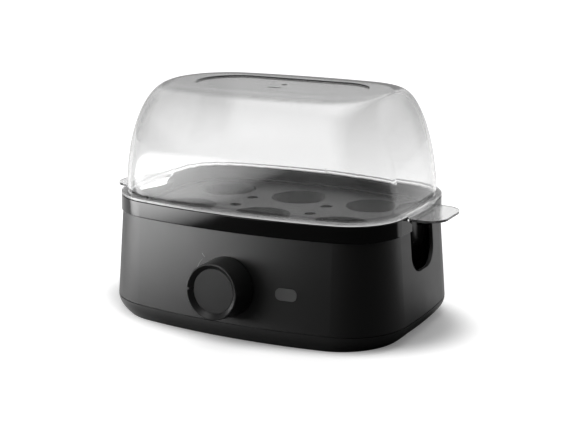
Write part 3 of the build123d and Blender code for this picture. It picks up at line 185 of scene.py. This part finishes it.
def principled(tree, output, **values):
    """A principled shader wired to the output, with the given socket values."""
    shader = tree.nodes.new("ShaderNodeBsdfPrincipled")
    for socket, value in values.items():
        shader.inputs[socket.replace("_", " ")].default_value = value
    tree.links.new(shader.outputs["BSDF"], output.inputs["Surface"])
    return shader


def noise(tree, scale, detail, roughness=0.5, stretch=(1, 1, 1)):
    """Noise in object space, scale in cells per metre."""
    place = tree.nodes.new("ShaderNodeTexCoord")
    mapping = tree.nodes.new("ShaderNodeMapping")
    texture = tree.nodes.new("ShaderNodeTexNoise")
    mapping.inputs["Scale"].default_value = stretch
    texture.inputs["Scale"].default_value = scale
    texture.inputs["Detail"].default_value = detail
    texture.inputs["Roughness"].default_value = roughness
    tree.links.new(place.outputs["Object"], mapping.inputs["Vector"])
    tree.links.new(mapping.outputs["Vector"], texture.inputs["Vector"])
    return texture.outputs["Fac"]


def ranged(tree, value, start, end, low, high, shape="LINEAR"):
    """A value that goes from low to high as another goes from start to end."""
    node = tree.nodes.new("ShaderNodeMapRange")
    node.interpolation_type = shape
    node.inputs["From Min"].default_value = start
    node.inputs["From Max"].default_value = end
    node.inputs["To Min"].default_value = low
    node.inputs["To Max"].default_value = high
    tree.links.new(value, node.inputs["Value"])
    return node.outputs["Result"]


def eased(tree, value, start, end, low, high):
    """The same with a soft start and end."""
    return ranged(tree, value, start, end, low, high, "SMOOTHSTEP")


def spread(tree, value, low, high):
    """A value of 0 to 1 spread over a new range."""
    return ranged(tree, value, 0.0, 1.0, low, high)


def axis_of(tree, vector, axis):
    """One component of a vector."""
    node = tree.nodes.new("ShaderNodeSeparateXYZ")
    tree.links.new(vector, node.inputs[0])
    return node.outputs[axis]


def combine(tree, operation, *values):
    """The sum, product, maximum or the like of two values, or the absolute of one."""
    node = tree.nodes.new("ShaderNodeMath")
    node.operation = operation
    for socket, value in zip(node.inputs, values):
        tree.links.new(value, socket)
    return node.outputs[0]


def vector_math(tree, operation, *vectors):
    """A vector operation on sockets and fixed vectors, which gives a vector or a value."""
    node = tree.nodes.new("ShaderNodeVectorMath")
    node.operation = operation
    for socket, vector in zip(node.inputs, vectors):
        if isinstance(vector, tuple):
            socket.default_value = vector
        else:
            tree.links.new(vector, socket)
    return node.outputs["Value" if operation in ("DOT_PRODUCT", "LENGTH") else "Vector"]


def tint(tree, value, dark, light):
    """A colour between two, chosen by a value of 0 to 1."""
    mix = tree.nodes.new("ShaderNodeMix")
    mix.data_type = "RGBA"
    mix.inputs["A"].default_value = (*dark, 1)
    mix.inputs["B"].default_value = (*light, 1)
    tree.links.new(value, mix.inputs["Factor"])
    return mix.outputs["Result"]


def bump(tree, shader, height, distance, strength=1.0):
    """Surface relief of a given depth in metres."""
    node = tree.nodes.new("ShaderNodeBump")
    node.inputs["Distance"].default_value = distance
    node.inputs["Strength"].default_value = strength
    tree.links.new(height, node.inputs["Height"])
    tree.links.new(node.outputs["Normal"], shader.inputs["Normal"])


def moulded(name, dark, light, rough_low, rough_high, grain=GRAIN, depth=GRAIN_DEPTH, sheen=SHEEN):
    """Moulded plastic: slight mottling, uneven roughness and a spark-eroded grain."""
    material, tree, output = new_material(name)
    shader = principled(tree, output, IOR=PLASTIC_IOR, Specular_IOR_Level=sheen)
    tree.links.new(tint(tree, noise(tree, *MOTTLED), dark, light), shader.inputs["Base Color"])
    rough = spread(tree, noise(tree, *UNEVEN), rough_low, rough_high)
    tree.links.new(rough, shader.inputs["Roughness"])
    bump(tree, shader, noise(tree, grain, *GRAIN_NOISE), depth)
    return material


def glossy(name, dark, light, rough_low, rough_high):
    """Polished plastic: almost smooth, with the faint ripple of a moulded face."""
    material, tree, output = new_material(name)
    shader = principled(tree, output, IOR=PLASTIC_IOR)
    colour = tint(tree, noise(tree, *GLOSS_MOTTLED), dark, light)
    tree.links.new(colour, shader.inputs["Base Color"])
    rough = spread(tree, noise(tree, *GLOSS_UNEVEN), rough_low, rough_high)
    tree.links.new(rough, shader.inputs["Roughness"])
    bump(tree, shader, noise(tree, *GLOSS_RIPPLE), *GLOSS_RELIEF)
    return material


def metal(name, dark, light, rough_low, rough_high, stretch=(1, 1, 1)):
    """Rolled or turned metal with a fine drawn grain."""
    material, tree, output = new_material(name)
    shader = principled(tree, output, Metallic=1.0)
    grain = noise(tree, *METAL_GRAIN, stretch)
    tree.links.new(tint(tree, grain, dark, light), shader.inputs["Base Color"])
    tree.links.new(spread(tree, grain, rough_low, rough_high), shader.inputs["Roughness"])
    bump(tree, shader, grain, METAL_RELIEF)
    return material


def lid_painted_shade(tree, normal, position):
    """How much painted shade greys the lid, from 0 to 1: over its ends, and over its crown."""
    height = axis_of(tree, position, "Z")
    sideways = combine(tree, "ABSOLUTE", axis_of(tree, normal, "X"))
    upwards = combine(tree, "ABSOLUTE", axis_of(tree, normal, "Z"))
    turned = eased(tree, sideways, END_TURN_START, END_TURN_FULL, 0, 1)
    rise = ranged(tree, height, END_LOW, END_HIGH, 0, END_SHARE)
    over = eased(tree, upwards, CROWN_START, CROWN_FULL, 0, 1)
    above = ranged(tree, height, CROWN_LOW, CROWN_HIGH, 0, 1)
    ends = combine(tree, "MULTIPLY", turned, rise)
    crown = combine(tree, "MULTIPLY", over, above)
    return combine(tree, "MAXIMUM", ends, crown)


def clear_plastic(name):
    """Clear moulded plastic: polished outside, satin inside, with painted shade greying it over its ends and
    crown.
    """
    material, tree, output = new_material(name)
    shader = principled(tree, output, IOR=LID_IOR, Transmission_Weight=1.0)
    shape = tree.nodes.new("ShaderNodeNewGeometry")
    position = tree.nodes.new("ShaderNodeTexCoord").outputs["Object"]
    # Painted shade: the lid's colour turns grey where its faces turn to the side or upwards, high up
    painted_shade = lid_painted_shade(tree, shape.outputs["Normal"], position)
    body = tint(tree, painted_shade, grey(WALL_CLEAR), grey(SHOULDER_PAINTED_SHADE))
    tree.links.new(body, shader.inputs["Base Color"])
    from_middle = vector_math(tree, "SUBTRACT", position, LID_MIDDLE)
    outward = vector_math(tree, "DOT_PRODUCT", from_middle, shape.outputs["True Normal"])
    rough = ranged(tree, outward, LID_TURN, -LID_TURN, OUTSIDE_ROUGH, INSIDE_ROUGH)
    tree.links.new(rough, shader.inputs["Roughness"])
    bump(tree, shader, noise(tree, *LID_RIPPLE), *LID_RELIEF)
    return material


# The finish of each material slot: name, darkest and lightest colour, and lowest and highest
# roughness, then what sets it apart
FINISHES = {
    "housing_black": moulded(
        "housing_charcoal", grey(0.014), grey(0.018), 0.42, 0.5, sheen=SHEEN_STRONG
    ),
    "gloss_black": glossy("rim_gloss_black", grey(0.006), grey(0.008), 0.05, 0.09),
    "base_black": moulded(
        "base_charcoal", grey(0.03), grey(0.036), 0.42, 0.5, sheen=SHEEN_STRONG
    ),
    "clear_lid": clear_plastic("lid_clear"),
    "tray_grey": moulded(
        "tray_charcoal", grey(0.012), grey(0.016), 0.35, 0.42, GRAIN_COARSE, GRAIN_SHALLOW
    ),
    "bowl_steel": metal("bowl_steel", grey(0.5), grey(0.6), 0.25, 0.38, (1, 12, 1)),
    "seal_rubber": moulded("seal_rubber", grey(0.2), grey(0.24), 0.6, 0.7),
    "foot_rubber": moulded("foot_rubber", grey(0.02), grey(0.03), 0.7, 0.8),
    "spreader_aluminium": metal(
        "spreader_aluminium", grey(0.7), grey(0.8), 0.3, 0.45, (1, 10, 1)
    ),
    "element_steel": metal(
        "element_steel", (0.3, 0.28, 0.26), (0.36, 0.35, 0.34), 0.35, 0.5
    ),
    "plated_steel": metal("plated_steel", grey(0.5), grey(0.62), 0.28, 0.4, (1, 8, 1)),
    "screw_steel": metal("screw_steel", grey(0.4), grey(0.5), 0.3, 0.42),
    "knob_black": moulded(
        "knob_black", grey(0.022), grey(0.027), 0.26, 0.32, GRAIN, GRAIN_FAINT, SHEEN_STRONG
    ),
    "knob_face_grey": moulded("knob_face_charcoal", grey(0.035), grey(0.04), 0.4, 0.5),
    "print_grey": moulded(
        "print_grey", grey(0.30), grey(0.34), 0.5, 0.6, GRAIN, GRAIN_SHALLOW
    ),
    "pointer_dark": moulded(
        "pointer_black", grey(0.002), grey(0.004), 0.6, 0.7, sheen=SHEEN_FLAT
    ),
    "lens_smoke": moulded(
        "lens_smoke", grey(0.26), grey(0.29), 0.3, 0.36, GRAIN_COARSE, GRAIN_SHALLOW
    ),
    "lamp_glass": glossy("lamp_amber", (0.5, 0.18, 0.05), (0.6, 0.22, 0.07), 0.1, 0.15),
    "board_green": moulded("board_green", (0.02, 0.1, 0.04), (0.03, 0.13, 0.05), 0.4, 0.5),
    "phenolic_brown": moulded(
        "phenolic_brown", (0.05, 0.028, 0.015), (0.07, 0.04, 0.02), 0.4, 0.5
    ),
    "ceramic_white": moulded("ceramic_white", (0.7, 0.69, 0.64), (0.76, 0.75, 0.7), 0.4, 0.5),
    "terminal_white": moulded("terminal_white", grey(0.68), grey(0.74), 0.35, 0.45),
    "lead_sheath": moulded("lead_sheath", (0.6, 0.6, 0.56), (0.66, 0.66, 0.62), 0.4, 0.5),
    "gland_black": moulded("gland_black", grey(0.015), grey(0.02), 0.5, 0.6),
}


def dress_nodes():
    """Gives every CAD node the finish of its material slot."""
    for part in frame["record"]["subparts"]:
        node = NODES[part["node"]]
        node.data.materials.clear()
        node.data.materials.append(FINISHES[part["material_slot"]])


def aim(thing, place, target, roll=0.0):
    """Puts a lamp or camera in its place, facing a target and rolled by some degrees."""
    thing.location = place
    thing.rotation_mode = "QUATERNION"
    facing = (Vector(target) - Vector(place)).to_track_quat("-Z", "Y")
    thing.rotation_quaternion = facing @ Quaternion((0, 0, 1), radians(roll))


def soften_lamp(lamp):
    """Dims a lamp with the square of the distance from its middle, to nothing at its rim."""
    lamp.use_nodes = True
    tree = lamp.node_tree
    tree.nodes.clear()
    output = tree.nodes.new("ShaderNodeOutputLight")
    glow = tree.nodes.new("ShaderNodeEmission")
    place = tree.nodes.new("ShaderNodeNewGeometry").outputs["Parametric"]
    half = 0.5
    offset = vector_math(tree, "SUBTRACT", place, (half, half, 0))
    square = vector_math(tree, "DOT_PRODUCT", offset, offset)
    level = ranged(tree, square, half * half, 0.0, 0.0, 1.0)
    tree.links.new(level, glow.inputs["Strength"])
    tree.links.new(glow.outputs[0], output.inputs["Surface"])


def softbox(name, place, target, size, radiance, roll):
    """A soft oval lamp, brightest in its middle, which the camera doesn't see."""
    lamp = bpy.data.lights.new(name, "AREA")
    lamp.shape = "RECTANGLE"
    lamp.size, lamp.size_y = size
    lamp.energy = radiance * pi * size[0] * size[1]
    soften_lamp(lamp)
    holder = add_object(name, lamp)
    aim(holder, place, target, roll)
    holder.visible_camera = False
    holder.visible_transmission = False


def shown_to_camera(tree, output, shown, lit):
    """One shader for what the camera sees, straight or through glass, and another for the rest."""
    path = tree.nodes.new("ShaderNodeLightPath").outputs
    mix = tree.nodes.new("ShaderNodeMixShader")
    seen = combine(tree, "MAXIMUM", path["Is Camera Ray"], path["Is Transmission Ray"])
    tree.links.new(seen, mix.inputs["Fac"])
    tree.links.new(lit, mix.inputs[1])
    tree.links.new(shown, mix.inputs[2])
    tree.links.new(mix.outputs[0], output.inputs["Surface"])


def make_world():
    """A white backdrop for the camera; for all else a room, dark in front and paler behind."""
    world = bpy.data.worlds.new("studio")
    bpy.context.scene.world = world
    world.use_nodes = True
    tree = world.node_tree
    tree.nodes.clear()
    output = tree.nodes.new("ShaderNodeOutputWorld")
    backdrop = tree.nodes.new("ShaderNodeBackground")
    room = tree.nodes.new("ShaderNodeBackground")
    backdrop.inputs["Color"].default_value = WHITE
    room.inputs["Color"].default_value = WHITE
    behind = axis_of(tree, tree.nodes.new("ShaderNodeTexCoord").outputs["Generated"], "Y")
    level = eased(tree, behind, 0.0, ROOM_BACK_FULL, ROOM_FRONT, ROOM_BACK)
    tree.links.new(level, room.inputs["Strength"])
    shown_to_camera(tree, output, backdrop.outputs[0], room.outputs[0])


def floor_shader(tree, colour, glow):
    """A matt grey shader with a white glow of varying strength."""
    shader = tree.nodes.new("ShaderNodeBsdfPrincipled")
    shader.inputs["Base Color"].default_value = (*grey(colour), 1)
    shader.inputs["Roughness"].default_value = 1.0
    shader.inputs["Emission Color"].default_value = WHITE
    tree.links.new(glow, shader.inputs["Emission Strength"])
    return shader.outputs["BSDF"]


def make_floor():
    """A large white floor that keeps the object's shadow, with a painted contact shadow round its foot; for
    all else, its back half is pale.
    """
    mesh = bpy.data.meshes.new("floor")
    corners = [(-1, -1), (1, -1), (1, 1), (-1, 1)]
    places = [(x * FLOOR_HALF, y * FLOOR_HALF, 0) for x, y in corners]
    mesh.from_pydata(places, [], [(0, 1, 2, 3)])
    floor = add_object("floor", mesh)
    material, tree, output = new_material("floor_white")
    place = tree.nodes.new("ShaderNodeTexCoord").outputs["Object"]
    footprints = vector_math(tree, "DIVIDE", place, (cad_high[0], cad_high[1], 1))
    reach = vector_math(tree, "LENGTH", footprints)
    # Painted contact shadow: the floor glows less close round the object's foot
    painted_contact_shadow = eased(tree, reach, FLOOR_FOOT, FLOOR_FOOT_END, FLOOR_CONTACT, FLOOR_NEAR)
    far = eased(tree, reach, FLOOR_RISE, FLOOR_PLAIN, 0, 1 - FLOOR_NEAR)
    shown = floor_shader(tree, FLOOR_WHITE, combine(tree, "ADD", painted_contact_shadow, far))
    behind = vector_math(tree, "DOT_PRODUCT", place, FLOOR_BACKWARDS)
    back = eased(tree, behind, FLOOR_BACK_START, FLOOR_BACK_FULL, 0, FLOOR_BACK)
    shown_to_camera(tree, output, shown, floor_shader(tree, FLOOR_DIM, back))
    mesh.materials.append(material)


def make_camera():
    """The camera at the photograph's place and angle."""
    data = bpy.data.cameras.new("camera")
    data.sensor_width = CAMERA_SENSOR
    data.lens = CAMERA_LENS
    camera = add_object("camera", data)
    aim(camera, CAMERA_AT, CAMERA_AIM)
    bpy.context.scene.camera = camera


def dial_point(surface, radius, angle):
    """A place on the front face, and its normal, at a radius and an angle about the knob."""
    upright = (Vector((0, 0, 1)) - KNOB_AXIS.z * KNOB_AXIS).normalized()
    across = upright.cross(KNOB_AXIS)
    spot = KNOB_CENTRE + radius * (cos(radians(angle)) * across + sin(radians(angle)) * upright)
    place, normal, _, _ = surface.ray_cast(spot + PRINT_SEARCH * KNOB_AXIS, -KNOB_AXIS)
    return place, normal


def printed_line(name, surface, stations):
    """A thin line of print on the front face, through stations of radius and angle."""
    mesh = bmesh.new()
    rings = []
    spots = [dial_point(surface, radius, angle) for radius, angle in stations]
    for index, (place, normal) in enumerate(spots):
        before = spots[max(index - 1, 0)][0]
        after = spots[min(index + 1, len(spots) - 1)][0]
        aside = (after - before).cross(normal).normalized() * PRINT_HALF_WIDTH
        top = place + normal * PRINT_PROUD
        bottom = place - normal * PRINT_SUNK
        corners = (top - aside, top + aside, bottom + aside, bottom - aside)
        rings.append([mesh.verts.new(corner) for corner in corners])
    for first, second in zip(rings, rings[1:]):
        for side in range(4):
            following = (side + 1) % 4
            mesh.faces.new((first[side], first[following], second[following], second[side]))
    mesh.faces.new(rings[0])
    mesh.faces.new(rings[-1])
    bmesh.ops.recalc_face_normals(mesh, faces=mesh.faces)
    data = bpy.data.meshes.new(name)
    mesh.to_mesh(data)
    mesh.free()
    line = add_object(name, data)
    data.materials.append(FINISHES["print_grey"])
    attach(line, "base")


def print_dial():
    """The dial's arc and off tick, which lie on the front face."""
    surface = BVHTree.FromObject(NODES["housing_front"], bpy.context.evaluated_depsgraph_get())
    turn = (DIAL_END - DIAL_START) / DIAL_STEPS
    arc = [(DIAL_R, DIAL_START + turn * step) for step in range(DIAL_STEPS + 1)]
    reach = (TICK_OUT - TICK_IN) / TICK_STEPS
    tick = [(TICK_IN + reach * step, TICK_ANGLE) for step in range(TICK_STEPS + 1)]
    printed_line("dial_arc", surface, arc)
    printed_line("dial_off_tick", surface, tick)


dress_nodes()
print_dial()
make_world()
make_floor()
make_camera()
for lamp_facts in LAMPS:
    softbox(*lamp_facts)

bpy.context.scene.view_settings.view_transform = "Standard"
